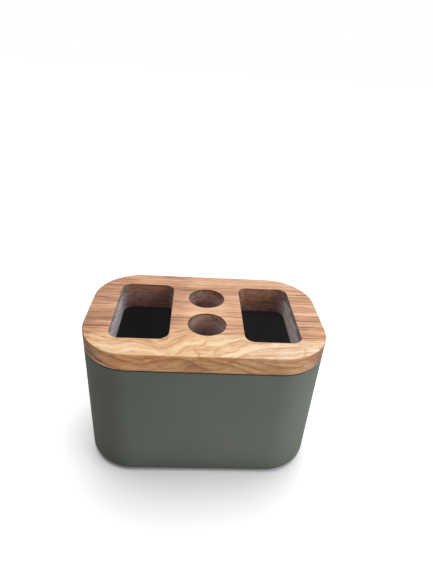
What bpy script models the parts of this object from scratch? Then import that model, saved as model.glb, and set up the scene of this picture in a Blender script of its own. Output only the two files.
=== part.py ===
"""Bathroom organizer: an open container with rounded corners, a thick wooden lid
that drops into its mouth, and four feet.

Frame: metres, +Z up, origin on the surface the object stands on, under the middle
of the container. +X is the long side, the front faces -Y.

The lid is one board. A step cut round its underside leaves a locating block that
hangs inside the container, and the rest of the board lies on the container's rim.
Two rounded oblong openings and two round toothbrush holes go right through it.
"""

import math

import bmesh
import bpy
from mathutils import Matrix

MM = 0.001

# Outline, shared by the container and the lid so that their sides are flush.
LENGTH = 155.0 * MM
WIDTH = 97.0 * MM
CORNER_R = 32.0 * MM
CORNER_STEPS = 16

# Feet
FOOT_PROUD = 1.2 * MM  # how far the container's base is held off the surface
FOOT_DIAMETER = 12.0 * MM
FOOT_SEAT_DEPTH = 1.1 * MM
FOOT_EDGE = 0.35 * MM
FOOT_X = 51.0 * MM
FOOT_Y = 27.0 * MM
FOOT_STEPS = 32

# Container
CONTAINER_HEIGHT = 87.0 * MM
WALL = 4.0 * MM
FLOOR = 5.0 * MM
BASE_FILLET = 3.4 * MM
INNER_FILLET = 4.0 * MM
RIM_EDGE = 0.4 * MM

# Lid
LID_THICKNESS = 20.0 * MM  # the whole board, locating block included
LID_RIM = 12.5 * MM  # the part of it seen above the container
BLOCK_CLEARANCE = 0.6 * MM  # between the locating block and the container's wall
LID_TOP_EDGE = 0.5 * MM
LID_LOWER_EDGE = 0.9 * MM
BLOCK_EDGE = 0.8 * MM
CUT_EDGE = 0.4 * MM  # broken edge round each opening
GAP = 0.3 * MM  # kept between pieces that touch

# Openings, as (centre x, centre y, length, width, corner radius). They are cut by
# hand, so the two sides differ by about a millimetre.
OBLONGS = {
    "left": (-41.45 * MM, 0.6 * MM, 37.1 * MM, 66.0 * MM, 7.2 * MM),
    "right": (42.2 * MM, 0.6 * MM, 35.8 * MM, 66.0 * MM, 6.6 * MM),
}
OBLONG_STEPS = 8
HOLE_DIAMETER = 25.0 * MM
HOLES = {"rear": (0.7 * MM, 17.0 * MM), "front": (0.8 * MM, -15.1 * MM)}
HOLE_STEPS = 48

# Heights
BASE_Z = FOOT_PROUD
RIM_Z = BASE_Z + CONTAINER_HEIGHT
LID_SEAT_Z = RIM_Z + GAP
LID_TOP_Z = LID_SEAT_Z + LID_RIM
BLOCK_Z = LID_TOP_Z - LID_THICKNESS


def clear_scene():
    for obj in list(bpy.data.objects):
        bpy.data.objects.remove(obj, do_unlink=True)
    for mesh in list(bpy.data.meshes):
        bpy.data.meshes.remove(mesh)


def material(name, colour, roughness, metallic=0.0):
    made = bpy.data.materials.new(name)
    made.use_nodes = True
    shader = made.node_tree.nodes["Principled BSDF"]
    shader.inputs["Base Color"].default_value = (*colour, 1.0)
    shader.inputs["Roughness"].default_value = roughness
    shader.inputs["Metallic"].default_value = metallic
    made.diffuse_color = (*colour, 1.0)
    return made


def rounded_face(bm, cx, cy, z, length, width, radius, steps):
    """A flat face: a rectangle whose four corners are bevelled to arcs."""
    corners = [
        bm.verts.new((cx + sx * length / 2, cy + sy * width / 2, z))
        for sx, sy in ((-1, -1), (1, -1), (1, 1), (-1, 1))
    ]
    face = bm.faces.new(corners)
    bmesh.ops.bevel(
        bm,
        geom=corners,
        offset=radius,
        offset_type="OFFSET",
        segments=steps,
        profile=0.5,
        affect="VERTICES",
        clamp_overlap=False,
    )
    bm.faces.ensure_lookup_table()
    found = [f for f in bm.faces if abs(f.calc_center_median().z - z) < 1e-7]
    return max(found, key=lambda f: f.calc_area())


def extrude(bm, face, distance):
    """Pulls one face out along Z and returns the face at the far end."""
    made = bmesh.ops.extrude_face_region(bm, geom=[face])
    verts = [v for v in made["geom"] if isinstance(v, bmesh.types.BMVert)]
    bmesh.ops.translate(bm, verts=verts, vec=(0.0, 0.0, distance))
    far = [f for f in made["geom"] if isinstance(f, bmesh.types.BMFace)]
    if face.is_valid:
        bmesh.ops.delete(bm, geom=[face], context="FACES_ONLY")
    return far[0]


def inset(bm, face, distance):
    """Leaves a border of even width round a face, and returns the inner face."""
    bmesh.ops.inset_region(
        bm, faces=[face], thickness=distance, depth=0.0, use_even_offset=True
    )
    return face


def bevel_loop(bm, face, width, steps):
    """Rounds or chamfers the edges round one flat face."""
    bmesh.ops.bevel(
        bm,
        geom=list(face.edges),
        offset=width,
        offset_type="OFFSET",
        segments=steps,
        profile=0.5,
        affect="EDGES",
        clamp_overlap=False,
        loop_slide=False,
    )


def face_at(bm, z, up):
    """The largest flat face at a height that looks up, or down."""
    found = [
        f
        for f in bm.faces
        if all(abs(v.co.z - z) < 1e-6 for v in f.verts) and (f.normal.z > 0) == up
    ]
    return max(found, key=lambda f: f.calc_area())


def finish(bm, name, mat, smooth_angle=35.0):
    bmesh.ops.recalc_face_normals(bm, faces=bm.faces)
    mesh = bpy.data.meshes.new(name)
    bm.to_mesh(mesh)
    bm.free()
    mesh.shade_smooth()
    mesh.set_sharp_from_angle(angle=math.radians(smooth_angle))
    obj = bpy.data.objects.new(name, mesh)
    bpy.context.scene.collection.objects.link(obj)
    if mat:
        mesh.materials.append(mat)
    return obj


def prism(cx, cy, length, width, radius, steps, low, high):
    """A closed upright block with rounded corners."""
    bm = bmesh.new()
    face = rounded_face(bm, cx, cy, low, length, width, radius, steps)
    made = bmesh.ops.extrude_face_region(bm, geom=[face])
    verts = [v for v in made["geom"] if isinstance(v, bmesh.types.BMVert)]
    bmesh.ops.translate(bm, verts=verts, vec=(0.0, 0.0, high - low))
    bmesh.ops.recalc_face_normals(bm, faces=bm.faces)
    return bm


def disc(diameter, steps, low, high):
    """A closed upright cylinder on the object's own origin."""
    bm = bmesh.new()
    bmesh.ops.create_cone(
        bm,
        cap_ends=True,
        cap_tris=False,
        segments=steps,
        radius1=diameter / 2,
        radius2=diameter / 2,
        depth=high - low,
        matrix=Matrix.Translation((0.0, 0.0, (low + high) / 2)),
    )
    return bm


def cut(target, cutter, name):
    """Takes the cutter's volume out of the target, and hides the cutter."""
    cutter.hide_render = True
    cutter.display_type = "WIRE"
    modifier = target.modifiers.new(name, "BOOLEAN")
    modifier.operation = "DIFFERENCE"
    modifier.solver = "EXACT"
    modifier.object = cutter


def make_container(mat):
    bm = prism(0, 0, LENGTH, WIDTH, CORNER_R, CORNER_STEPS, BASE_Z, RIM_Z)
    bm.normal_update()
    # The mouth: the top face is inset by the wall's thickness and pushed down.
    mouth = inset(bm, face_at(bm, RIM_Z, True), WALL)
    bottom = extrude(bm, mouth, -(CONTAINER_HEIGHT - FLOOR))
    bmesh.ops.recalc_face_normals(bm, faces=bm.faces)
    bevel_loop(bm, face_at(bm, BASE_Z + FLOOR, True), INNER_FILLET, 5)
    bm.normal_update()
    bevel_loop(bm, face_at(bm, BASE_Z, False), BASE_FILLET, 6)
    bm.normal_update()
    rim = [
        e
        for e in bm.edges
        if all(abs(v.co.z - RIM_Z) < 1e-6 for v in e.verts)
        and any(abs(f.normal.z) < 0.5 for f in e.link_faces)
    ]
    bmesh.ops.bevel(
        bm,
        geom=rim,
        offset=RIM_EDGE,
        offset_type="OFFSET",
        segments=2,
        profile=0.5,
        affect="EDGES",
        clamp_overlap=False,
        loop_slide=False,
    )
    return finish(bm, "container", mat)


def make_lid(mat):
    bm = prism(0, 0, LENGTH, WIDTH, CORNER_R, CORNER_STEPS, LID_SEAT_Z, LID_TOP_Z)
    bm.normal_update()
    # The locating block: the underside is inset past the container's wall and
    # pulled down, which leaves the step that lies on the rim.
    block = inset(bm, face_at(bm, LID_SEAT_Z, False), WALL + BLOCK_CLEARANCE)
    extrude(bm, block, -(LID_SEAT_Z - BLOCK_Z))
    bmesh.ops.recalc_face_normals(bm, faces=bm.faces)
    bevel_loop(bm, face_at(bm, BLOCK_Z, False), BLOCK_EDGE, 1)
    bm.normal_update()
    bevel_loop(bm, face_at(bm, LID_TOP_Z, True), LID_TOP_EDGE, 2)
    bm.normal_update()
    lower = [
        e
        for e in bm.edges
        if all(abs(v.co.z - LID_SEAT_Z) < 1e-6 for v in e.verts)
        and any(abs(f.normal.z) < 0.5 and f.calc_center_median().z > LID_SEAT_Z + 1e-5 for f in e.link_faces)
    ]
    bmesh.ops.bevel(
        bm,
        geom=lower,
        offset=LID_LOWER_EDGE,
        offset_type="OFFSET",
        segments=1,
        affect="EDGES",
        clamp_overlap=False,
        loop_slide=False,
    )
    return finish(bm, "lid", mat)


def flared(bm, low, high):
    """Widens a cutter where it leaves each face of the board, for a broken edge."""
    over = 1.0 * MM
    for z, up in ((high, True), (low, False)):
        way = 1 if up else -1
        bm.normal_update()
        end = face_at(bm, z, up)
        far = extrude(bm, end, way * (CUT_EDGE + over))
        # Each point moves out along its own edge normal by as much as it rose.
        centre = {v: v.co.copy() for v in far.verts}
        outward = {}
        loop = [l.vert for l in far.loops]
        for i, v in enumerate(loop):
            a = centre[loop[i - 1]]
            b = centre[loop[(i + 1) % len(loop)]]
            along = (b - a).normalized()
            side = along.cross(far.normal).normalized()
            outward[v] = side
        for v, side in outward.items():
            v.co += side * (CUT_EDGE + over)
    bmesh.ops.recalc_face_normals(bm, faces=bm.faces)
    return bm


def main():
    clear_scene()

    sage = material("sage_matte", (0.245, 0.27, 0.225), 0.6)
    wood = material("olive_wood", (0.60, 0.37, 0.19), 0.55)
    rubber = material("foot_rubber", (0.03, 0.03, 0.03), 0.8)

    container = make_container(sage)

    seat = disc(FOOT_DIAMETER + 2 * GAP, FOOT_STEPS, -2 * MM, BASE_Z + FOOT_SEAT_DEPTH)
    foot = disc(FOOT_DIAMETER, FOOT_STEPS, 0.0, BASE_Z + FOOT_SEAT_DEPTH - GAP)
    foot.normal_update()
    bevel_loop(foot, face_at(foot, 0.0, False), FOOT_EDGE, 2)
    seat_object = finish(seat, "seat_cutter", None)
    foot_object = finish(foot, "foot_front_left", rubber)
    places = {
        "front_left": (-FOOT_X, -FOOT_Y),
        "front_right": (FOOT_X, -FOOT_Y),
        "rear_left": (-FOOT_X, FOOT_Y),
        "rear_right": (FOOT_X, FOOT_Y),
    }
    for place, (x, y) in places.items():
        if place == "front_left":
            one, cutter = foot_object, seat_object
            cutter.name = "seat_cutter_front_left"
        else:
            one = foot_object.copy()
            one.name = "foot_" + place
            cutter = seat_object.copy()
            cutter.name = "seat_cutter_" + place
            bpy.context.scene.collection.objects.link(one)
            bpy.context.scene.collection.objects.link(cutter)
        one.location = (x, y, 0.0)
        cutter.location = (x, y, 0.0)
        one.parent = container
        cut(container, cutter, "seat_" + place)

    lid = make_lid(wood)
    # The lid lifts straight up, along an axis through the middle of the object.
    axis = bpy.data.objects.new("lid_axis", None)
    bpy.context.scene.collection.objects.link(axis)
    lid.parent = axis

    low, high = BLOCK_Z + CUT_EDGE, LID_TOP_Z - CUT_EDGE
    for name, (x, y, length, width, radius) in OBLONGS.items():
        bm = prism(x, y, length, width, radius, OBLONG_STEPS, low, high)
        cutter = finish(flared(bm, low, high), "opening_cutter_" + name, None)
        cut(lid, cutter, "opening_" + name)
    for name, (x, y) in HOLES.items():
        bm = disc(HOLE_DIAMETER, HOLE_STEPS, low, high)
        bm.normal_update()
        cutter = finish(flared(bm, low, high), "hole_cutter_" + name, None)
        cutter.location = (x, y, 0.0)
        cut(lid, cutter, "hole_" + name)


main()
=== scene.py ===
import math

import bmesh
import bpy
from mathutils import Matrix, Vector


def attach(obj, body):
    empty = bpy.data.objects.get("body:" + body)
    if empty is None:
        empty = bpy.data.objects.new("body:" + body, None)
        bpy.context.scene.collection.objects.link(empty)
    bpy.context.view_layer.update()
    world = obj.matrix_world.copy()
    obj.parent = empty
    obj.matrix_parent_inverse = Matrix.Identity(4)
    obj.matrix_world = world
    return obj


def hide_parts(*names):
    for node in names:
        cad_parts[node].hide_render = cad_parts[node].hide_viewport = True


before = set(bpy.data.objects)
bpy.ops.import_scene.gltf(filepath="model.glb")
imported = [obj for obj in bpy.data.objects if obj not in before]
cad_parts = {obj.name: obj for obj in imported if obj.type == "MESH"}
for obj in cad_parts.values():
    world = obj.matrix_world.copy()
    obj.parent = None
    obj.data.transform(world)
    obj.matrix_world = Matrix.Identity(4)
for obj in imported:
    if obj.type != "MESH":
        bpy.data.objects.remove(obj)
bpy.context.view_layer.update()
MM = 0.001

# ---------------------------------------------------------------- sizes, in mm
LENGTH, WIDTH, CORNER_R = 155.0, 97.0, 32.0
STEPS = 40  # points round each rounded corner
BASE_Z, RIM_Z, SEAT_Z, TOP_Z = 1.2, 88.2, 88.5, 101.0
BLOCK_Z = TOP_Z - 20.0
WALL, FLOOR = 4.0, 5.0
OBLONGS = [(-41.45, 0.6, 37.1, 66.0, 7.2), (42.2, 0.6, 35.8, 66.0, 6.6)]
HOLES = [(0.7, 17.0, 12.5), (0.8, -15.1, 12.5)]
FEET = {"front_left": (-51, -27), "front_right": (51, -27), "rear_left": (-51, 27), "rear_right": (51, 27)}


# ---------------------------------------------------------------- mesh helpers
def rounded(cx, cy, length, width, radius, steps=STEPS):
    """Points round a rectangle with rounded corners, anticlockwise from the right side."""
    points = []
    for sx, sy, start in ((1, 1, 0), (-1, 1, 90), (-1, -1, 180), (1, -1, 270)):
        ox = cx + sx * (length / 2 - radius)
        oy = cy + sy * (width / 2 - radius)
        for i in range(steps + 1):
            a = math.radians(start + 90 * i / steps)
            points.append((ox + radius * math.cos(a), oy + radius * math.sin(a)))
    return points


def circle(cx, cy, radius, steps=96):
    return [
        (cx + radius * math.cos(2 * math.pi * i / steps), cy + radius * math.sin(2 * math.pi * i / steps))
        for i in range(steps)
    ]


def loop(bm, points, z):
    return [bm.verts.new((x * MM, y * MM, z * MM)) for x, y in points]


def skin(bm, low, high, slot=0, smooth=True):
    """Quads between two loops that have the same number of points. They face outwards when the loops run anticlockwise and high is above low."""
    made = []
    n = len(low)
    for i in range(n):
        j = (i + 1) % n
        f = bm.faces.new((low[i], low[j], high[j], high[i]))
        f.material_index = slot
        f.smooth = smooth
        made.append(f)
    return made


def fill(bm, loops, up, slot=0):
    """Closes the flat area between an outer loop and any loops inside it."""
    edges = []
    for one in loops:
        for i, v in enumerate(one):
            w = one[(i + 1) % len(one)]
            edges.append(bm.edges.get((v, w)) or bm.edges.new((v, w)))
    before = set(bm.faces)
    bmesh.ops.triangle_fill(bm, use_beauty=True, use_dissolve=False, edges=edges)
    for f in bm.faces:
        if f not in before:
            f.normal_update()
            if (f.normal.z > 0) != up:
                f.normal_flip()
            f.material_index = slot
            f.smooth = True


def to_object(bm, name, materials, angle=30.0):
    mesh = bpy.data.meshes.new(name)
    bm.to_mesh(mesh)
    bm.free()
    for m in materials:
        mesh.materials.append(m)
    mesh.shade_smooth()
    mesh.set_sharp_from_angle(angle=math.radians(angle))
    obj = bpy.data.objects.new(name, mesh)
    bpy.context.scene.collection.objects.link(obj)
    return obj


# ---------------------------------------------------------------- node helpers
class Nodes:
    """A short way to write shader maths: sockets and plain numbers go in, a socket comes out."""

    def __init__(self, material):
        material.use_nodes = True
        self.tree = material.node_tree
        self.tree.nodes.clear()
        self.count = 0

    def new(self, kind, **settings):
        node = self.tree.nodes.new(kind)
        node.location = (200 * (self.count % 24), -220 * (self.count // 24))
        self.count += 1
        for key, value in settings.items():
            setattr(node, key, value)
        return node

    def put(self, socket, value):
        if isinstance(value, bpy.types.NodeSocket):
            self.tree.links.new(value, socket)
        else:
            socket.default_value = value

    def math(self, operation, a, b=0.0, c=0.0, clamp=False):
        node = self.new("ShaderNodeMath", operation=operation, use_clamp=clamp)
        for socket, value in zip(node.inputs, (a, b, c)):
            self.put(socket, value)
        return node.outputs[0]

    def add(self, a, b):
        return self.math("ADD", a, b)

    def sub(self, a, b):
        return self.math("SUBTRACT", a, b)

    def mul(self, a, b):
        return self.math("MULTIPLY", a, b)

    def step(self, value, low, high, a=0.0, b=1.0):
        """Smoothly from a at low to b at high."""
        node = self.new("ShaderNodeMapRange", interpolation_type="SMOOTHSTEP")
        for key, v in (("Value", value), ("From Min", low), ("From Max", high), ("To Min", a), ("To Max", b)):
            self.put(node.inputs[key], v)
        return node.outputs[0]

    def ramp(self, value, low, high, a=0.0, b=1.0):
        node = self.new("ShaderNodeMapRange", interpolation_type="LINEAR", clamp=True)
        for key, v in (("Value", value), ("From Min", low), ("From Max", high), ("To Min", a), ("To Max", b)):
            self.put(node.inputs[key], v)
        return node.outputs[0]

    def vector(self, x=0.0, y=0.0, z=0.0):
        node = self.new("ShaderNodeCombineXYZ")
        for socket, value in zip(node.inputs, (x, y, z)):
            self.put(socket, value)
        return node.outputs[0]

    def noise(self, vector, scale=1.0, detail=2.0, rough=0.5, distortion=0.0, kind="3D"):
        node = self.new("ShaderNodeTexNoise", noise_dimensions=kind)
        self.put(node.inputs["Vector"], vector)
        self.put(node.inputs["Scale"], scale)
        self.put(node.inputs["Detail"], detail)
        self.put(node.inputs["Roughness"], rough)
        self.put(node.inputs["Distortion"], distortion)
        return node.outputs["Fac"]

    def curve(self, value, low, high, points, out_low, out_high, handle="AUTO"):
        """A line through given points: the value from low to high is read off the points, given in the units of both
        axes.
        """
        node = self.new("ShaderNodeFloatCurve")
        self.put(node.inputs["Value"], self.ramp(value, low, high))
        line = node.mapping.curves[0]
        ready = sorted(((x - low) / (high - low), (y - out_low) / (out_high - out_low)) for x, y in points)
        while len(line.points) < len(ready):
            line.points.new(0.5, 0.5)
        for point, (x, y) in zip(line.points, ready):
            point.location = (x, y)
            point.handle_type = handle
        node.mapping.update()
        return self.ramp(node.outputs[0], 0.0, 1.0, out_low, out_high)

    def profile(self, value, low, high, streaks):
        """Adds up streaks, each a soft peak at its own place, read along the value."""
        places = sorted({p for at, half, _ in streaks for p in (at - half, at - half * 0.4, at, at + half * 0.4, at + half)})
        points = []
        for p in places:
            total = 0.0
            for at, half, strength in streaks:
                away = abs(p - at) / half
                total += strength * max(0.0, 1.0 - away) ** 1.3
            if low < p < high:
                points.append((p, max(-0.5, min(total, 1.0))))
        points = [(low, 0.0), *points, (high, 0.0)]
        return self.curve(value, low, high, points, -0.5, 1.0, "VECTOR")

    def vein(self, across, along, points, half, trail):
        """One vein, drawn through points given as (place along, place across). It is sharp on one side, trails off on the other, and fades at its ends."""
        start, end = min(p for p, _ in points), max(p for p, _ in points)
        low, high = min(q for _, q in points) - 1.0, max(q for _, q in points) + 1.0
        gap = self.sub(across, self.curve(along, start, end, points, low, high))
        line = self.step(self.math("ABSOLUTE", gap), 0.0, half, 1.0, 0.0)
        behind = self.math("MULTIPLY", gap, 1.0 if trail > 0 else -1.0)
        tail = self.mul(self.ramp(behind, 0.0, abs(trail), 1.0, 0.0), self.step(behind, -0.6, 0.3))
        ends = self.mul(self.step(along, start - 1.0, start + 1.5), self.step(along, end - 1.5, end + 1.0, 1.0, 0.0))
        return self.mul(self.math("MAXIMUM", line, self.mul(tail, 0.55)), ends)

    def blend(self, factor, a, b):
        """From a to b, for plain numbers."""
        return self.add(self.mul(self.sub(1.0, factor), a), self.mul(factor, b))

    def mix(self, factor, a, b, blend="MIX"):
        node = self.new("ShaderNodeMix", data_type="RGBA", blend_type=blend)
        node.clamp_factor = True
        self.put(node.inputs["Factor"], factor)
        for name, value in (("A", a), ("B", b)):
            sockets = [s for s in node.inputs if s.name == name and s.type == "RGBA"]
            if isinstance(value, tuple) and len(value) == 3:
                value = (*value, 1.0)
            self.put(sockets[0], value)
        return [s for s in node.outputs if s.type == "RGBA"][0]

    def split(self, vector):
        node = self.new("ShaderNodeSeparateXYZ")
        self.put(node.inputs[0], vector)
        return node.outputs

    def bump(self, height, distance, strength=1.0):
        node = self.new("ShaderNodeBump")
        self.put(node.inputs["Height"], height)
        node.inputs["Distance"].default_value = distance
        node.inputs["Strength"].default_value = strength
        return node.outputs["Normal"]

    def finish(self, colour, roughness, normal=None, **plain):
        shader = self.new("ShaderNodeBsdfPrincipled")
        self.put(shader.inputs["Base Color"], colour)
        self.put(shader.inputs["Roughness"], roughness)
        if normal:
            self.put(shader.inputs["Normal"], normal)
        for name, value in plain.items():
            shader.inputs[name.replace("_", " ")].default_value = value
        out = self.new("ShaderNodeOutputMaterial")
        self.tree.links.new(shader.outputs[0], out.inputs[0])
        return shader


# ---------------------------------------------------------------- olive wood
# The heart of the trunk ran along X, off the board's front upper edge, so the rings cut the
# front strip of the top at a low angle and show wide figure there, and close lines behind it.
HEART_Y, HEART_Z = -60.0, 125.0

# Streaks of the straight grain: (place across the board, half width, strength), in mm
LEFT_END = [
    (44, 1.5, 0.16), (39.5, 1.2, 0.12), (32, 2.6, 0.44), (28, 0.9, 0.18), (24.3, 2.0, 0.36), (19, 1.0, 0.2), (16.4, 1.6, 0.16), (13.6, 0.8, 0.48),
    (9, 1.4, 0.28), (6, 0.8, 0.24), (1.4, 4.4, -0.24), (-6.4, 1.8, 0.26), (-9.2, 1.5, 0.36), (-11.8, 2.0, 0.66), (-14.4, 2.2, 0.6), (-17.6, 3.0, 0.42),
    (-20.9, 1.1, 0.85), (-23.4, 2.2, 0.26), (-27.2, 1.9, 0.36),
]
LEFT_BRIDGE = [
    (42.6, 3.4, -0.22), (40.5, 1.0, 0.22), (36.2, 0.9, 0.24), (33.8, 2.8, -0.22), (30.6, 1.0, 0.24), (28.6, 1.0, 0.85), (27.2, 2.2, 0.5), (22.0, 1.8, -0.16),
    (20.4, 0.9, 0.2), (16.0, 1.3, 0.2), (10.4, 1.0, 0.24), (6.5, 0.8, 0.16), (1.8, 1.4, 0.14), (-2.6, 4.4, -0.30), (-3.4, 0.9, 0.2), (-8.3, 1.0, 0.9),
    (-11.2, 1.2, 0.56), (-15.6, 1.2, 0.24), (-20.6, 2.6, 0.24), (-24.6, 0.8, 0.24),
]
RIGHT_BRIDGE = [
    (43.5, 1.2, 0.16), (38.0, 1.0, 0.16), (32.4, 1.3, 0.42), (30.4, 1.2, 0.34), (28.2, 1.4, 0.5), (25.2, 1.5, 0.5), (22.6, 1.0, 0.34), (19.6, 2.2, 0.36), (15.0, 1.0, 0.28),
    (13.6, 1.4, -0.14), (9.8, 1.4, 0.36), (3.4, 1.0, 0.14), (-0.2, 0.9, 0.46), (-5.8, 0.9, 0.75), (-8.8, 1.8, -0.20), (-11.8, 1.0, 0.3), (-14.6, 1.9, 0.62), (-18.8, 0.8, 0.5),
    (-24.8, 1.3, 0.42),
]
RIGHT_END = [
    (43, 1.2, 0.18), (37.5, 0.9, 0.20), (32.3, 0.9, 0.38), (26.3, 1.3, 0.88), (22.4, 3.8, 0.44), (16.8, 1.6, 0.5), (13.9, 0.8, 0.56), (8.6, 1.2, 0.34),
    (1.2, 2.4, -0.22), (-2.3, 1.2, 0.90), (-4.0, 0.6, 0.44), (-7.3, 1.0, 0.86), (-11.2, 0.7, 0.30), (-15.0, 1.3, 0.72), (-18.2, 2.2, 0.62), (-24.0, 1.6, 0.58),
    (-26.4, 1.2, 0.54), (-28.6, 1.4, 0.36),
]
# The front figure, on the top unrolled over the front edge: x, and the distance s behind the
# middle of the board, which goes on down the front edge from -48.5. A vein that runs across
# the board is given as (s, x), one that runs along it as (x, s); then half width, trail, strength.
VEINS_DOWN = [
    ([(-49.0, -4.4), (-46.4, -4.1), (-43.8, -5.9), (-40.4, -7.2), (-37.5, -2.8), (-32.4, 1.4)], 1.5, 4.0, 0.95),
    ([(-49.0, 5.2), (-45.8, 4.5), (-42.2, 6.0), (-38.8, 7.9)], 1.9, 5.5, 0.9),
    ([(-48.6, 5.4), (-45.0, 6.8), (-41.5, 8.8)], 2.6, 3.0, 0.6),
    ([(-46.5, 57.8), (-42.0, 58.8), (-38.0, 60.0), (-34.0, 61.2)], 2.0, 3.0, 0.6),
    ([(-48.8, -21.5), (-46.0, -22.2), (-43.5, -20.6)], 1.8, 3.0, 0.4),
]
VEINS_ALONG = [
    ([(0.4, -33.0), (5.5, -32.3), (11.8, -30.0), (18.0, -28.6), (24.0, -27.6)], 1.2, 3.5, 0.75),
    ([(6.4, -39.4), (9.2, -38.6), (12.8, -36.7), (15.4, -34.9), (18.6, -33.4), (23.2, -29.7)], 1.5, -4.5, 0.9),
    ([(9.0, -40.4), (11.8, -43.4), (15.4, -42.9), (18.6, -41.6), (20.1, -39.2), (23.3, -36.5), (25.9, -34.8), (33.7, -34.1), (40.0, -33.6)], 1.4, 5.0, 0.8),
    ([(21.0, -46.0), (24.5, -43.8), (27.9, -42.2), (30.5, -41.1), (36.3, -38.8), (44.0, -38.0), (58.7, -35.7), (66.0, -33.6)], 1.5, -6.0, 0.85),
    ([(26.0, -47.4), (30.0, -46.4), (38.9, -45.1), (49.3, -44.0), (57.0, -41.5)], 1.2, -3.5, 0.7),
    ([(44.0, -34.6), (52.0, -33.6), (62.0, -31.0), (70.0, -27.6)], 1.3, 3.0, 0.6),
    ([(-57.0, -39.6), (-50.0, -37.6), (-45.0, -36.6), (-38.0, -37.6), (-30.0, -39.6), (-26.0, -41.4), (-22.0, -39.0), (-16.6, -35.5), (-10.7, -31.0), (-6.0, -27.6)], 1.4, 4.0, 0.6),
    ([(-66.0, -34.8), (-58.0, -35.6), (-50.0, -34.6), (-42.0, -34.2), (-34.0, -35.8), (-28.0, -36.6)], 1.3, 2.5, 0.5),
    ([(-24.0, -31.4), (-18.0, -28.6), (-10.0, -25.0), (-3.0, -22.6), (2.0, -21.0)], 1.1, 3.0, 0.6),
    ([(-22.0, -26.4), (-14.0, -22.4), (-6.0, -19.4)], 1.0, 2.0, 0.5),
    ([(14.0, -25.6), (19.0, -23.4), (26.0, -21.6)], 1.0, 2.0, 0.5),
    ([(54.0, -33.8), (60.0, -32.3), (66.0, -31.4), (72.0, -31.0)], 1.2, 2.0, 0.6),
    ([(-50.4, -48.2), (-44.1, -49.8), (-36.9, -51.4), (-33.7, -50.3), (-23.3, -48.5)], 1.3, 2.5, 0.85),
    ([(-64.0, -41.8), (-58.2, -48.0), (-48.8, -52.3), (-44.1, -54.0), (-37.4, -55.6), (-30.1, -52.9), (-13.4, -51.0), (-7.7, -53.5), (1.0, -58.2)], 1.4, -4.0, 1.0),
    ([(-5.0, -48.3), (4.0, -51.9), (14.4, -54.5), (27.4, -59.7), (31.0, -61.5)], 1.4, -4.0, 1.0),
    ([(5.4, -48.3), (17.0, -51.9), (33.7, -57.1), (42.0, -60.0)], 1.3, 3.0, 0.85),
    ([(23.5, -47.6), (33.7, -52.2), (44.1, -54.2), (54.5, -53.6), (62.3, -46.4), (67.0, -42.0)], 1.2, -4.0, 0.85),
    ([(-60.0, -54.5), (-50.0, -59.0), (-38.0, -60.4), (-28.0, -58.0), (-18.0, -57.4)], 1.2, 2.5, 0.6),
    ([(-13.0, -53.4), (-8.0, -54.4), (-2.0, -56.4)], 3.0, 2.0, 0.5),
    ([(36.0, -60.6), (46.0, -59.4), (56.0, -58.6)], 1.0, 3.0, 0.4),
    ([(-73.0, -41.5), (-68.5, -46.6), (-64.1, -51.2), (-59.5, -54.4), (-55.1, -56.9), (-49.0, -59.6)], 1.5, 1.8, 1.3),
    ([(46.0, -50.5), (54.0, -51.0), (61.0, -49.5), (67.0, -46.0), (71.0, -42.0)], 1.1, 2.2, 0.6),
    ([(-4.0, -48.2), (16.0, -48.3), (26.0, -48.5), (40.0, -48.5), (50.0, -48.2), (56.0, -46.8), (62.0, -43.9), (67.0, -40.3)], 1.2, -2.8, 0.95),
    ([(24.0, -50.0), (40.0, -50.5), (50.0, -50.1), (56.0, -48.8), (62.0, -45.6), (66.0, -42.6)], 1.3, -2.0, 0.9),
]
# Above this line the front strip is tan, below it cream
CREAM = [
    (-80.0, -27.0), (-70.0, -29.5), (-62.0, -33.0), (-56.0, -36.5), (-45.0, -36.5), (-38.0, -37.0), (-30.0, -37.5), (-26.0, -38.0), (-22.0, -36.0),
    (-16.6, -32.5), (-10.7, -29.5), (-6.0, -28.0), (10.0, -26.0), (30.0, -28.0), (60.0, -30.0), (80.0, -26.0),
]
# How far the growth lines of the front strip swing over to the right of the board
SWING = [
    (-80.0, -9.0), (-62.0, -11.0), (-56.0, -12.0), (-45.0, -9.0), (-38.0, -10.0), (-30.0, -12.0), (-26.0, -14.0), (-22.0, -11.5), (-16.6, -8.0), (-10.7, -3.5),
    (-5.0, -2.0), (5.0, -2.0), (10.0, -0.5), (16.0, 2.5), (23.0, 6.0), (33.0, 8.0), (44.0, 9.5), (59.0, 11.0), (80.0, 12.0),
]


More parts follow.
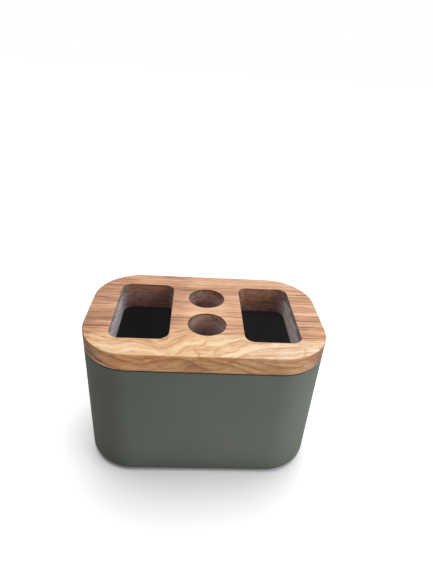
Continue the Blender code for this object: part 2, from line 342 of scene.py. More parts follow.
def olive_wood(name, kind, fuzz=0.3, tint=(0.86, 0.92, 1.0)):
    """kind is face (planed and oiled), cut (walls of the openings) or under (the underside). fuzz is how much raised fibre a cut wall has."""
    material = bpy.data.materials.new(name)
    n = Nodes(material)
    where = n.new("ShaderNodeTexCoord")
    x, y, z = n.split(where.outputs["Object"])
    x, y, z = (n.mul(c, 1000.0) for c in (x, y, z))
    nx, ny, nz = n.split(where.outputs["Normal"])

    # Wander of the fibres
    slow = n.noise(n.vector(n.mul(x, 0.018), n.mul(y, 0.04), n.mul(z, 0.05)), detail=1.0)
    quick = n.noise(n.vector(n.mul(x, 0.07), n.mul(y, 0.20), n.mul(z, 0.20)), detail=2.0, rough=0.6)
    wander = n.add(n.mul(n.sub(slow, 0.5), 3.6), n.mul(n.sub(quick, 0.5), 1.5))

    # Where a ring that passes through this point would meet the top of the board
    dy = n.sub(y, HEART_Y)
    dz = n.sub(HEART_Z, z)
    depth = HEART_Z - TOP_Z
    squared = n.sub(n.add(n.mul(dy, dy), n.mul(dz, dz)), depth * depth)
    ring = n.add(n.math("SQRT", n.math("MAXIMUM", squared, 0.01)), HEART_Y)
    v = n.add(ring, wander)

    # The front strip: the growth lines swing across the board, and single veins stand out
    fold = n.sub(y, n.sub(TOP_Z, z))
    deep = n.ramp(z, TOP_Z - 5.0, TOP_Z - 0.5, 1.0, 0.0)
    swing = n.curve(x, -80.0, 80.0, SWING, -16.0, 14.0)
    end = n.math("ABSOLUTE", nx)
    front = n.mul(n.step(fold, -40.0, -15.0, 1.0, 0.0), n.step(end, 0.60, 0.94, 1.0, 0.0))
    bend = n.mul(n.sub(n.noise(n.vector(n.mul(x, 0.09), n.mul(fold, 0.12), 2.0), detail=2.0), 0.5), 5.0)
    u = n.sub(n.blend(front, v, fold), n.mul(n.add(swing, bend), front))
    wobble = n.noise(n.vector(n.mul(x, 0.16), n.mul(fold, 0.16), 31.0), detail=2.0, rough=0.6)
    swerve = n.noise(n.vector(n.mul(x, 0.16), n.mul(fold, 0.16), 57.0), detail=2.0, rough=0.6)
    fold_wild = n.add(fold, n.mul(n.sub(wobble, 0.5), 2.6))
    x_wild = n.add(x, n.mul(n.sub(swerve, 0.5), 2.6))
    thin = n.ramp(n.noise(n.vector(n.mul(x, 0.13), n.mul(fold, 0.13), 83.0), detail=2.0), 0.3, 0.6, 0.5, 1.0)
    veins = 0.0
    for points, half, trail, strength in VEINS_DOWN:
        veins = n.math("MAXIMUM", veins, n.mul(n.vein(x_wild, fold_wild, points, half, trail), strength))
    for points, half, trail, strength in VEINS_ALONG:
        veins = n.math("MAXIMUM", veins, n.mul(n.vein(fold_wild, x_wild, points, half, trail), strength))
    veins = n.mul(veins, thin)

    # How dark the grain is, from 0 pale to 1 nearly black
    vary = n.noise(n.vector(n.mul(x, 0.06), n.mul(v, 0.22), 5.0), detail=1.0)
    zones = [
        n.profile(v, -32.0, 50.0, LEFT_END),
        n.profile(v, -32.0, 50.0, LEFT_BRIDGE),
        n.profile(v, -32.0, 50.0, RIGHT_BRIDGE),
        n.profile(v, -32.0, 50.0, RIGHT_END),
    ]
    lines = zones[0]
    for zone, at, soft in ((zones[1], -42.0, 10.0), (zones[2], 1.0, 7.0), (zones[3], 42.0, 10.0)):
        lines = n.blend(n.step(x, at - soft, at + soft), lines, zone)
    lines = n.mul(lines, n.ramp(vary, 0.28, 0.66, 0.3, 1.25))
    strip = n.step(n.add(fold, n.step(x, 46.0, 60.0, 0.0, 5.0)), -32.0, -22.0, 1.0, 0.0)
    lines = n.mul(lines, n.mul(n.sub(1.0, strip), 0.45 if kind == "cut" else 1.0))

    broad = n.noise(n.vector(n.mul(x, 0.012), n.mul(u, 0.14), 3.0), detail=2.0, rough=0.55)
    streak = n.noise(n.vector(n.mul(x, 0.026), n.mul(u, 0.46), 7.0), detail=3.0, rough=0.62)
    fine = n.noise(n.vector(n.mul(x, 0.06), n.mul(u, 1.5), 11.0), detail=3.0, rough=0.65)
    patch = n.noise(n.vector(n.mul(x, 0.06), n.mul(u, 0.22), 23.0), detail=2.0, rough=0.6)
    ends = n.mul(n.step(n.math("ABSOLUTE", x), 48.0, 60.0), n.sub(1.0, deep))
    tone = n.add(lines, n.mul(n.sub(broad, 0.5), 0.7))
    tone = n.add(tone, n.mul(n.sub(patch, 0.5), n.add(0.62, n.mul(strip, 0.12))))
    tone = n.add(tone, n.mul(n.sub(streak, 0.5), n.add(n.add(0.74, n.mul(deep, 0.24)), n.mul(ends, 0.40))))
    tone = n.add(tone, n.mul(n.sub(fine, 0.5), n.add(n.add(0.46, n.mul(deep, 0.12)), n.mul(ends, 0.16))))
    # Hairlines: thin, sharp and broken
    hair = n.noise(n.vector(n.mul(x, 0.035), n.mul(u, 0.55), 41.0), detail=1.0)
    hair = n.step(n.math("ABSOLUTE", n.sub(hair, 0.5)), 0.0, 0.03, 1.0, 0.0)
    broken = n.noise(n.vector(n.mul(x, 0.07), n.mul(u, 0.35), 47.0), detail=2.0, rough=0.6)
    tone = n.add(tone, n.mul(n.mul(hair, n.step(broken, 0.44, 0.58)), 0.32))
    tan_side = n.step(n.sub(fold_wild, n.curve(x, -80.0, 80.0, CREAM, -44.0, -24.0)), -1.0, 1.6)
    tone = n.add(tone, n.blend(n.step(fold, -34.0, -24.0, 1.0, 0.0), n.step(fold, 26.0, 38.0, 0.165, 0.135), n.add(n.mul(tan_side, 0.20), n.ramp(x, -30.0, 20.0, 0.17, 0.05))))
    tone = n.sub(tone, n.mul(deep, n.ramp(x, -64.0, -16.0, 0.34, 0.0)))
    # Paler in the middle, deeper at the left end
    middle = n.mul(n.step(n.math("ABSOLUTE", x), 9.0, 20.0, 1.0, 0.0), n.step(n.math("ABSOLUTE", n.add(y, 4.0)), 8.0, 22.0, 1.0, 0.0))
    tone = n.sub(tone, n.mul(middle, 0.15))
    tone = n.add(tone, n.mul(n.step(x, -17.0, -3.0, 1.0, 0.0), n.mul(n.step(fold, -36.0, -20.0), n.add(n.ramp(y, 0.0, 44.0, 0.13, 0.15), n.step(x, -62.0, -46.0, 0.06, 0.0)))))

    yellow = n.step(fold, -38.0, -8.0, 1.0, 0.0)
    cream = n.mix(n.step(x, -25.0, 5.0), (0.640, 0.440, 0.262), (0.665, 0.475, 0.282))
    cream = n.mix(n.step(x, 10.0, 50.0), cream, (0.675, 0.518, 0.365))
    right_end = n.step(x, 40.0, 60.0)
    pale = n.mix(yellow, n.mix(right_end, (0.572, 0.332, 0.188), (0.568, 0.350, 0.216)), cream)
    tan = n.mix(yellow, (0.420, 0.202, 0.102), (0.520, 0.280, 0.130))
    palest = n.mix(yellow, n.mix(right_end, (0.640, 0.420, 0.270), (0.660, 0.460, 0.320)), (0.740, 0.570, 0.400))
    colour = n.mix(n.ramp(tone, 0.0, 0.34), pale, tan)
    colour = n.mix(n.ramp(tone, -0.36, -0.02, 0.85, 0.0), colour, palest)
    colour = n.mix(n.ramp(tone, 0.30, 0.62), colour, (0.285, 0.131, 0.066))
    colour = n.mix(n.ramp(tone, 0.58, 1.0), colour, (0.130, 0.060, 0.036))
    colour = n.mix(n.mul(veins, 0.88), colour, n.mix(deep, (0.385, 0.190, 0.080), (0.235, 0.112, 0.055)))

    # Pores: short dark flecks along the fibres, and dots where the fibres are cut across
    pores = n.noise(n.vector(n.mul(x, 0.6), n.mul(y, 5.0), n.mul(z, 5.0)), detail=1.0)
    pores = n.step(pores, 0.62, 0.74)
    colour = n.mix(n.mul(pores, 0.14), colour, (0.16, 0.08, 0.055))

    height = n.add(n.mul(streak, 0.3), n.mul(fine, 0.4))
    height = n.sub(height, n.mul(pores, 0.6))
    rough = n.add(0.46, n.mul(fine, 0.14))
    more = {}
    if kind == "face":
        # The edge grain is deeper in colour than the top, and the end grain deeper still
        upright = n.step(n.math("ABSOLUTE", nz), 0.45, 0.97, 1.0, 0.0)
        warm = n.ramp(n.noise(n.vector(n.mul(x, 0.035), n.mul(u, 0.20), 71.0), detail=2.0), 0.46, 0.68, 0.0, 0.55)
        colour = n.mix(n.mul(upright, warm), colour, (0.530, 0.270, 0.120))
        colour = n.mix(upright, colour, n.mix(1.0, colour, (1.14, 0.91, 0.72), blend="MULTIPLY"))
        sapwood = n.mul(upright, n.ramp(x, -66.0, -8.0, 1.0, 0.0))
        colour = n.mix(sapwood, colour, n.mix(1.0, colour, (1.36, 1.30, 1.28), blend="MULTIPLY"))
        across = n.step(end, 0.35, 0.90)
        colour = n.mix(across, colour, n.mix(1.0, colour, (0.45, 0.43, 0.54), blend="MULTIPLY"))
        growth = n.noise(n.vector(n.mul(x, 0.04), n.mul(v, 0.42), n.mul(z, 0.03)), detail=3.0, rough=0.65)
        colour = n.mix(n.mul(across, n.ramp(growth, 0.50, 0.66, 0.0, 0.6)), colour, (0.150, 0.080, 0.060))
        colour = n.mix(n.mul(across, n.ramp(growth, 0.34, 0.48, 0.5, 0.0)), colour, (0.440, 0.300, 0.245))
        deeper = n.mul(upright, n.step(x, 42.0, 64.0))
        colour = n.mix(deeper, colour, n.mix(1.0, colour, (0.86, 0.84, 0.80), blend="MULTIPLY"))
        # Painted highlight: the lower arris is painted paler, as if catching light, most of all at the corners where it
        # cuts across the fibres
        arris_highlight = n.mul(n.mul(n.step(end, 0.20, 0.60), n.step(z, SEAT_Z + 1.0, SEAT_Z + 1.5, 1.0, 0.0)), n.mul(n.ramp(growth, 0.40, 0.60, 1.0, 0.6), n.step(end, 0.85, 1.0, 1.0, 0.45)))
        colour = n.mix(arris_highlight, colour, (0.86, 0.72, 0.64))
        # Painted highlight: a pale band all round the lower arris, just above the step
        colour = n.mix(n.mul(n.step(z, SEAT_Z + 0.75, SEAT_Z + 1.05, 1.0, 0.0), 0.65), colour, (0.62, 0.46, 0.32))
    if kind == "cut":
        # The cutter leaves rings along the wall, scorches it in places and darkens its lip. The end-grain walls are
        # grey: partly open end grain, partly a painted sheen of grazing light.
        down = n.sub(TOP_Z, z)
        bores = n.step(n.math("ABSOLUTE", x), 14.5, 16.0, 1.0, 0.0)
        scorch = n.noise(n.vector(n.mul(x, 0.09), n.mul(y, 0.09), n.mul(z, 0.28)), detail=3.0, rough=0.65)
        colour = n.mix(n.ramp(scorch, 0.52, 0.76, 0.0, 0.5), colour, (0.20, 0.100, 0.078))
        rings = n.noise(n.vector(n.mul(x, 0.035), n.mul(y, 0.035), n.mul(z, 0.62)), detail=3.0, rough=0.65)
        turned = n.add(0.5, n.mul(bores, 0.25))
        colour = n.mix(n.mul(n.ramp(rings, 0.52, 0.70), turned), colour, (0.17, 0.088, 0.070))
        colour = n.mix(n.mul(n.ramp(rings, 0.32, 0.50, 1.0, 0.0), turned), colour, (0.66, 0.46, 0.38))
        hatch = n.noise(n.vector(n.mul(x, 0.1), n.mul(fold, 0.36), n.mul(z, 0.07)), detail=3.0, rough=0.65)
        sloping = n.add(z, n.mul(y, n.step(x, -1.0, 1.0, 0.42, 0.16)))
        marks = n.noise(n.vector(n.mul(sloping, 0.62), n.mul(y, 0.05), n.mul(x, 0.05)), detail=3.0, rough=0.7)
        hatch = n.blend(n.step(n.math("ABSOLUTE", x), 14.5, 16.0), hatch, marks)
        grey = n.mix(n.ramp(hatch, 0.36, 0.64), (0.26, 0.195, 0.180), (0.78, 0.735, 0.735))
        far_right = n.step(x, 50.0, 56.0)
        # Painted sheen: the far right and far left end walls are painted paler, the left one bluer, as grazing light
        # off them
        grey = n.mix(far_right, grey, n.mix(n.ramp(hatch, 0.36, 0.64), (0.42, 0.352, 0.352), (0.97, 0.90, 0.91)))
        grey = n.mix(n.step(x, -56.0, -50.0, 1.0, 0.0), grey, n.mix(1.0, grey, (1.16, 1.20, 1.24), blend="MULTIPLY"))
        inner = n.mul(n.step(n.math("ABSOLUTE", x), 17.0, 19.0), n.step(n.math("ABSOLUTE", x), 44.0, 48.0, 1.0, 0.0))
        grey = n.mix(inner, grey, n.mix(1.0, grey, (0.86, 0.66, 0.50), blend="MULTIPLY"))
        reach = n.noise(n.vector(n.mul(x, 0.05), n.mul(n.sub(y, n.mul(z, 0.5)), 0.13), 61.0), detail=3.0, rough=0.65)
        reach = n.add(n.ramp(reach, 0.34, 0.66, 0.9, 4.6), n.add(n.mul(far_right, 1.3), n.add(n.step(y, 14.0, 26.0, 0.0, n.blend(far_right, 4.0, 1.6)), n.step(y, -26.0, -10.0, 1.6, 0.0))))
        scorched = n.step(n.sub(down, reach), -0.9, 1.5, 1.0, 0.0)
        grey = n.mix(n.mul(scorched, n.ramp(hatch, 0.38, 0.68, 1.0, 0.62)), grey, n.mix(far_right, (0.085, 0.046, 0.036), (0.052, 0.020, 0.014)))
        colour = n.mix(n.mul(n.step(end, 0.35, 0.98), n.sub(n.add(0.84, n.mul(scorched, 0.12)), n.mul(bores, 0.40))), colour, grey)
        # Painted sheen: a paler band in the bores from about 2 to 10 mm down
        colour = n.mix(n.mul(n.mul(bores, 0.36), n.mul(n.step(down, 2.0, 4.0), n.step(down, 8.5, 10.5, 1.0, 0.0))), colour, (0.56, 0.38, 0.32))
        turn = n.mul(n.step(end, 0.10, 0.60), n.step(end, 0.75, 0.97, 1.0, 0.0))
        colour = n.mix(n.mul(n.mul(turn, n.step(x, 45.0, 50.0)), 0.60), colour, (0.56, 0.38, 0.34))
        long_wall = n.mul(n.step(n.math("ABSOLUTE", ny), 0.5, 0.95), n.sub(1.0, bores))
        colour = n.mix(n.mul(long_wall, n.ramp(down, 1.0, 6.5, 0.65, 0.0)), colour, (0.58, 0.275, 0.165))
        colour = n.mix(n.mul(long_wall, n.step(x, 44.0, 54.0, 0.0, 0.35)), colour, (0.50, 0.30, 0.23))
        # The walls that face the back are warmer
        colour = n.mix(n.step(ny, 0.2, 0.7), colour, n.mix(1.0, colour, (1.02, 0.92, 0.78), blend="MULTIPLY"))
        # Red heartwood shows in the long walls, and the left opening's far corner is browner
        colour = n.mix(long_wall, colour, n.mix(1.0, colour, n.mix(n.mul(n.step(x, -10.0, 10.0, 1.0, 0.0), n.step(down, 2.0, 9.0)), (1.06, 0.95, 1.02), (0.90, 0.79, 0.95)), blend="MULTIPLY"))
        colour = n.mix(n.mul(n.mul(n.step(end, 0.2, 0.6), n.step(y, 17.0, 27.0)), n.step(x, -52.0, -48.0, 0.42, 0.0)), colour, (0.34, 0.235, 0.185))
        # Painted shade: the left opening's front-left corner is painted darker
        corner_shade = n.mul(n.step(y, -30.0, -22.0, 1.0, 0.0), n.step(x, -56.0, -53.0, 1.0, 0.0))
        colour = n.mix(corner_shade, colour, n.mix(1.0, colour, (0.66, 0.62, 0.62), blend="MULTIPLY"))
        # Painted shade: the walls darken and turn bluer from 7 to 18 mm down, less on the end-grain walls
        shaded = n.sub(1.0, n.mul(n.mul(n.step(end, 0.5, 0.95), n.sub(1.0, bores)), 0.55))
        colour = n.mix(n.mul(n.ramp(down, 7.0, 18.0), shaded), colour, n.mix(1.0, colour, (0.70, 0.68, 0.84), blend="MULTIPLY"))
        # Painted shade: below about 10 mm the bores are painted darker and bluer
        colour = n.mix(n.mul(bores, n.step(n.add(down, n.mul(n.sub(hatch, 0.5), 3.0)), 9.8, 11.4)), colour, n.mix(1.0, colour, (0.78, 0.84, 1.08), blend="MULTIPLY"))
        # Painted light and shade: the bores' left half is painted darker, the whole bore paler and bluer as sheen, and
        # the right half paler still
        colour = n.mix(n.mul(bores, n.step(x, -11.0, 5.0, 1.0, 0.0)), colour, n.mix(1.0, colour, (0.84, 0.80, 0.80), blend="MULTIPLY"))
        colour = n.mix(bores, colour, n.mix(1.0, colour, (1.06, 1.14, 1.20), blend="MULTIPLY"))
        colour = n.mix(n.mul(bores, n.step(x, -9.0, 7.0)), colour, n.mix(1.0, colour, (1.34, 1.28, 1.34), blend="MULTIPLY"))
        # Painted sheen: a greyish patch high on the bores' right side
        colour = n.mix(n.mul(n.mul(bores, n.step(x, 2.0, 8.0)), n.mul(n.step(down, 2.0, 5.0), n.step(y, -6.0, 6.0, 0.50, 0.24))), colour, (0.56, 0.46, 0.45))
        # The front bore is browner at its left, and where the cutter was drawn out it left a falling line
        front_left = n.mul(n.step(x, -11.6, -8.0, 1.0, 0.0), n.step(y, -4.0, 4.0, 1.0, 0.0))
        colour = n.mix(n.mul(bores, front_left), colour, n.mix(1.0, colour, (0.42, 0.31, 0.23), blend="MULTIPLY"))
        falling = n.add(n.sub(down, n.mul(n.sub(x, 1.5), 0.50)), n.mul(n.sub(scorch, 0.5), 3.4))
        drawn = n.mul(bores, n.step(x, 0.5, 4.0))
        colour = n.mix(n.mul(drawn, n.step(falling, -0.6, 0.5, 1.0, 0.0)), colour, n.mix(1.0, colour, n.mix(n.step(y, -4.0, 4.0), (1.06, 0.90, 0.86), (0.92, 0.70, 0.64)), blend="MULTIPLY"))
        colour = n.mix(n.mul(drawn, n.mul(n.step(n.math("ABSOLUTE", falling), 0.15, 0.95, 1.0, 0.0), 0.56)), colour, (0.060, 0.032, 0.026))
        lip = n.mul(n.step(down, 0.5, n.ramp(scorch, 0.35, 0.65, 1.2, 3.0), 1.0, 0.0), n.add(0.55, n.mul(bores, 0.35)))
        colour = n.mix(lip, colour, n.mix(bores, (0.115, 0.058, 0.044), (0.085, 0.042, 0.026)))
        mottle = n.noise(n.vector(n.mul(x, 0.34), n.mul(y, 0.34), n.mul(z, 0.5)), detail=4.0, rough=0.7)
        colour = n.mix(n.ramp(mottle, 0.52, 0.70, 0.0, 0.62), colour, (0.120, 0.066, 0.055))
        colour = n.mix(n.ramp(mottle, 0.32, 0.48, 0.40, 0.0), colour, (0.560, 0.400, 0.330))
        cutter = n.noise(n.vector(n.mul(x, 0.05), n.mul(y, 0.05), n.mul(z, 1.6)), detail=2.0)
        height = n.add(height, n.mul(cutter, 0.8))
        rough = n.add(0.55, n.mul(fine, 0.15))
        rough = n.sub(rough, n.mul(n.mul(n.step(end, 0.6, 0.98), n.sub(1.0, bores)), n.ramp(hatch, 0.45, 0.62, -0.12, 0.16)))
        more = {"Sheen_Weight": fuzz, "Sheen_Roughness": 0.5, "Sheen_Tint": (*tint, 1.0)}
    if kind == "under":
        rough = n.add(0.62, n.mul(fine, 0.15))
    n.finish(colour, rough, n.bump(height, 0.00012, 0.6), Specular_IOR_Level=0.3, **more)
    return material


def sage(name, inside):
    """Matte sage coat: almost one colour, with a fine tooth that catches the light."""
    material = bpy.data.materials.new(name)
    n = Nodes(material)
    here = n.new("ShaderNodeTexCoord").outputs["Object"]
    cloud = n.noise(here, scale=28.0, detail=3.0)
    grain = n.noise(here, scale=2600.0, detail=2.0, rough=0.6)
    peel = n.noise(here, scale=620.0, detail=2.0)
    speck = n.step(n.noise(here, scale=900.0, detail=1.0), 0.70, 0.76)
    colour = n.mix(n.ramp(cloud, 0.3, 0.7), (0.122, 0.136, 0.112), (0.137, 0.150, 0.125))
    colour = n.mix(n.mul(n.ramp(grain, 0.35, 0.65), 0.16), colour, (0.18, 0.192, 0.165))
    colour = n.mix(n.mul(speck, 0.2), colour, (0.09, 0.098, 0.082))
    if inside:
        # Inside, the coat is greyer and bluer than outside, and painted lighter towards the right as light
        x = n.split(here)[0]
        inside_tone_and_light = n.mix(n.step(x, 0.0, 0.04), (0.160, 0.164, 0.205), (0.250, 0.255, 0.290))
        colour = n.mix(0.65, colour, inside_tone_and_light)
    rough = n.add(0.52, n.mul(grain, 0.16))
    height = n.add(n.mul(peel, 0.7), n.mul(grain, 0.3))
    n.finish(colour, rough, n.bump(height, 0.00005, 0.5), Specular_IOR_Level=0.38)
    return material


def rubber(name):
    material = bpy.data.materials.new(name)
    n = Nodes(material)
    here = n.new("ShaderNodeTexCoord").outputs["Object"]
    grain = n.noise(here, scale=1800.0, detail=2.0)
    dust = n.step(n.noise(here, scale=300.0, detail=3.0), 0.55, 0.8)
    colour = n.mix(n.ramp(grain, 0.3, 0.7), (0.018, 0.018, 0.019), (0.034, 0.034, 0.035))
    colour = n.mix(n.mul(dust, 0.15), colour, (0.12, 0.12, 0.115))
    n.finish(colour, n.add(0.68, n.mul(grain, 0.2)), n.bump(grain, 0.00006, 0.6), Specular_IOR_Level=0.4)
    return material


# ---------------------------------------------------------------- the lid
def make_lid():
    bm = bmesh.new()
    FACE, CUT, UNDER, CLEAN_CUT = 0, 1, 2, 3

    def outline(inset, z):
        return loop(bm, rounded(0, 0, LENGTH - 2 * inset, WIDTH - 2 * inset, CORNER_R - inset), z)

    # Outer side, from the step up to the top: a planed lower arris and a softly broken top edge
    sections = [(0.95, SEAT_Z), (0.88, SEAT_Z + 0.03), (0.06, SEAT_Z + 0.85), (0.0, SEAT_Z + 0.97)]
    sections += [(0.0, TOP_Z - 3.0)]
    sections += [(0.60 * (1 - math.cos(a)), TOP_Z - 0.60 * (1 - math.sin(a))) for a in (0.0, 0.35, 0.75, 1.15, math.pi / 2)]
    rings = [outline(i, z) for i, z in sections]
    for low, high in zip(rings, rings[1:]):
        skin(bm, low, high, FACE)
    top_outer = rings[-1]

    # The step that lies on the rim, then the locating block
    block = WALL + 0.6
    corner = [(block - 0.25, SEAT_Z), (block, SEAT_Z - 0.25)]
    inner = [outline(i, z) for i, z in corner]
    wall = [outline(block, BLOCK_Z + 3.0), outline(block, BLOCK_Z + 0.8), outline(block + 0.1, BLOCK_Z + 0.55)]
    edge = [outline(block + 0.7, BLOCK_Z + 0.06), outline(block + 0.9, BLOCK_Z)]
    chain = [rings[0], *inner, *wall, *edge]
    for high, low in zip(chain, chain[1:]):
        skin(bm, low, high, UNDER)
    under_outer = chain[-1]

    # Openings: rounded edge, wall, rounded edge
    tops, bottoms = [], []
    shapes = [(o, None) for o in OBLONGS] + [(None, h) for h in HOLES]
    for oblong, hole in shapes:
        def shape(grow):
            if oblong:
                cx, cy, a, b, r = oblong
                return rounded(cx, cy, a + 2 * grow, b + 2 * grow, r + grow, 20)
            cx, cy, r = hole
            return circle(cx, cy, r + grow)

        e = 0.24
        levels = [(e * (1 - math.sin(a)), TOP_Z - e * (1 - math.cos(a))) for a in (0.0, 0.4, 0.8, 1.2, math.pi / 2)]
        levels += [(0.0, TOP_Z - 3.0), (0.0, TOP_Z - 10.0), (0.0, BLOCK_Z + 2.0)]
        levels += [(0.5 * (1 - math.cos(a)), BLOCK_Z + 0.5 * (1 - math.sin(a))) for a in (0.0, 0.5, 1.0, math.pi / 2)]
        loops = [loop(bm, shape(g), z) for g, z in levels]
        for k, (high, low) in enumerate(zip(loops, loops[1:])):
            skin(bm, high, low, FACE if k < 3 else CUT if oblong == OBLONGS[0] else CLEAN_CUT)
        tops.append(loops[0])
        bottoms.append(loops[-1])

    fill(bm, [top_outer, *tops], True, FACE)
    fill(bm, [under_outer, *bottoms], False, UNDER)
    return bm


# ---------------------------------------------------------------- the container
def make_container():
    bm = bmesh.new()
    OUT, IN = 0, 1

    def outline(inset, z):
        return loop(bm, rounded(0, 0, LENGTH - 2 * inset, WIDTH - 2 * inset, CORNER_R - inset), z)

    fillet = 3.4
    sections = [(fillet * (1 - math.sin(a)), BASE_Z + fillet * (1 - math.cos(a))) for a in [math.pi / 2 * i / 10 for i in range(11)]]
    sections += [(0.0, RIM_Z - 3.0)]
    edge = 0.4
    sections += [(edge * (1 - math.cos(a)), RIM_Z - edge * (1 - math.sin(a))) for a in [math.pi / 2 * i / 4 for i in range(5)]]
    sections += [(WALL - edge * math.cos(a), RIM_Z - edge * (1 - math.sin(a))) for a in [math.pi / 2 * (1 - i / 4) for i in range(5)]]
    split = len(sections) - 1
    inner = 4.0
    sections += [(WALL, RIM_Z - 3.0)]
    floor = BASE_Z + FLOOR
    sections += [(WALL + inner * (1 - math.cos(a)), floor + inner * (1 - math.sin(a))) for a in [math.pi / 2 * i / 8 for i in range(9)]]
    rings = [outline(i, z) for i, z in sections]
    for k, (low, high) in enumerate(zip(rings, rings[1:])):
        skin(bm, low, high, OUT if k < split else IN)
    fill(bm, [rings[-1]], True, IN)

    # Seats for the feet
    seats = []
    for x, y in FEET.values():
        levels = [(6.5, BASE_Z), (6.3, BASE_Z + 0.2), (6.3, BASE_Z + 1.1)]
        loops = [loop(bm, circle(x, y, r, 48), z) for r, z in levels]
        for low, high in zip(loops, loops[1:]):
            skin(bm, high, low, OUT)
        fill(bm, [loops[-1]], False, OUT)
        seats.append(loops[0])
    fill(bm, [rings[0], *seats], False, OUT)
    return bm


def make_foot(x, y):
    """A moulded pad: rounded rim, and two shallow rings in the sole so that it grips."""
    bm = bmesh.new()
    profile = [(5.8, 2.0), (5.95, 1.9), (6.0, 1.7), (6.0, 0.4), (5.9, 0.15), (5.65, 0.0)]
    profile += [(4.6, 0.0), (4.45, 0.22), (4.15, 0.22), (4.0, 0.0), (2.6, 0.0), (2.45, 0.22), (2.15, 0.22), (2.0, 0.0)]
    loops = [loop(bm, circle(x, y, r, 48), z) for r, z in profile]
    for high, low in zip(loops, loops[1:]):
        skin(bm, low, high)
    fill(bm, [loops[0]], True)
    fill(bm, [loops[-1]], False)
    return bm


wood = [olive_wood("olive_wood_face", "face"), olive_wood("olive_wood_cut", "cut"), olive_wood("olive_wood_under", "under"), olive_wood("olive_wood_clean_cut", "cut", 0.2, (1.0, 0.95, 0.95))]
coat = [sage("sage_coat", False), sage("sage_coat_inside", True)]
pad = rubber("foot_rubber")

lid = to_object(make_lid(), "lid_board", wood)
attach(lid, "lid")
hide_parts("lid")

box = to_object(make_container(), "container_shell", coat)
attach(box, "container")
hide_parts("container")

for place, (fx, fy) in FEET.items():
    foot = to_object(make_foot(fx, fy), "pad_" + place, [pad])
    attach(foot, "container")
    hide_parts("foot_" + place)


# ---------------------------------------------------------------- stage
def make_floor():
    bm = bmesh.new()
    bmesh.ops.create_grid(bm, x_segments=8, y_segments=8, size=6.0)
    mesh = bpy.data.meshes.new("studio_floor")
    bm.to_mesh(mesh)
    bm.free()
    floor = bpy.data.objects.new("studio_floor", mesh)
    bpy.context.scene.collection.objects.link(floor)
    material = bpy.data.materials.new("studio_floor")
    n = Nodes(material)
    seen = n.new("ShaderNodeLightPath").outputs["Is Camera Ray"]
    n.finish(n.mix(seen, (0.34, 0.34, 0.34), (0.90, 0.90, 0.90)), 0.9, Specular_IOR_Level=0.1, Emission_Color=(1.0, 1.0, 1.0, 1.0), Emission_Strength=0.02)
    mesh.materials.append(material)


def area(name, place, target, size, power, colour=(1, 1, 1)):
    data = bpy.data.lights.new(name, "AREA")
    data.shape = "RECTANGLE"
    data.size, data.size_y = size
    data.energy = power
    data.color = colour
    light = bpy.data.objects.new(name, data)
    bpy.context.scene.collection.objects.link(light)
    light.location = place
    light.rotation_euler = (Vector(target) - Vector(place)).to_track_quat("-Z", "Y").to_euler()
    return light


make_floor()
sun_data = bpy.data.lights.new("overhead_scrim", "SUN")
sun_data.energy = 2.45
sun_data.angle = math.radians(52)
sun_data.color = (1.0, 0.985, 0.965)
sun = bpy.data.objects.new("overhead_scrim", sun_data)
bpy.context.scene.collection.objects.link(sun)
sun.rotation_euler = Vector((-0.05, -0.22, -1.0)).to_track_quat("-Z", "Y").to_euler()
area("right_window", (0.42, -0.22, 0.20), (0.02, -0.04, 0.06), (0.35, 0.45), 1.5, (0.95, 0.98, 1.0))
# A white card on the floor lifts the foot of the container
area("front_card", (0.045, -0.108, 0.003), (0.045, -0.108, 1.0), (0.20, 0.10), 0.026).visible_camera = False

world = bpy.data.worlds.new("studio")
bpy.context.scene.world = world
w = Nodes(world)
# The room: dim at the horizon and paler overhead, with daylight from behind and a little from the right
sky = w.new("ShaderNodeTexCoord").outputs["Generated"]
facing = w.split(sky)


def lobe(direction, power):
    node = w.new("ShaderNodeVectorMath", operation="DOT_PRODUCT")
    w.put(node.inputs[0], sky)
    node.inputs[1].default_value = Vector(direction).normalized()
    return w.math("POWER", w.math("MAXIMUM", node.outputs["Value"], 0.0), power)


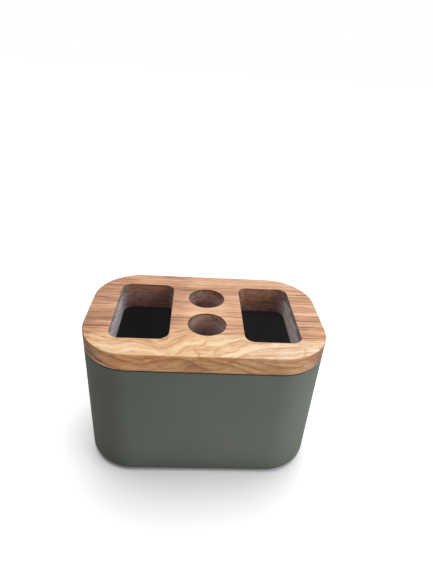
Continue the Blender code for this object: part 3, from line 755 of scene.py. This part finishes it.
def glow(colour, strength):
    node = w.new("ShaderNodeBackground")
    w.put(node.inputs["Color"], (*colour, 1.0))
    w.put(node.inputs["Strength"], strength)
    return node.outputs[0]


def both_of(a, b):
    node = w.new("ShaderNodeAddShader")
    w.put(node.inputs[0], a)
    w.put(node.inputs[1], b)
    return node.outputs[0]


room_light = glow((1.0, 0.98, 0.96), w.ramp(facing[2], 0.0, 0.9, 0.03, 0.30))
room_light = both_of(room_light, glow((0.90, 0.95, 1.0), w.mul(lobe((0.10, 0.86, 0.50), 7.0), 1.9)))
room_light = both_of(room_light, glow((0.94, 0.97, 1.0), w.mul(lobe((0.95, -0.15, 0.30), 3.0), 0.22)))
room_light = both_of(room_light, glow((1.0, 0.98, 0.97), w.mul(lobe((-0.58, 0.22, 0.80), 9.0), 0.75)))
# What the camera sees of it: a plain white backdrop
backdrop = w.new("ShaderNodeBackground")
backdrop.inputs["Strength"].default_value = 1.0
backdrop.inputs["Color"].default_value = (1.0, 1.0, 1.0, 1.0)
both = w.new("ShaderNodeMixShader")
w.put(both.inputs[0], w.new("ShaderNodeLightPath").outputs["Is Camera Ray"])
w.put(both.inputs[1], room_light)
w.put(both.inputs[2], backdrop.outputs[0])
w.put(w.new("ShaderNodeOutputWorld").inputs[0], both.outputs[0])

# ---------------------------------------------------------------- camera
camera_data = bpy.data.cameras.new("camera")
camera_data.sensor_fit = "AUTO"
camera_data.sensor_width = 36.0
camera_data.lens = 417.93 * 36.0 / 577.0
camera_data.clip_start, camera_data.clip_end = 0.01, 20.0
camera = bpy.data.objects.new("camera", camera_data)
bpy.context.scene.collection.objects.link(camera)
right = Vector((0.99751546, -0.02929218, 0.06406925))
up = Vector((-0.04100326, 0.49812618, 0.86613454))
back = Vector((-0.05728554, -0.86660965, 0.49568749))
camera.matrix_world = Matrix(
    (
        (right.x, up.x, back.x, -0.00956415),
        (right.y, up.y, back.y, -0.23723407),
        (right.z, up.z, back.z, 0.25477257),
        (0, 0, 0, 1),
    )
)
bpy.context.scene.camera = camera
bpy.context.scene.view_settings.view_transform = "Standard"
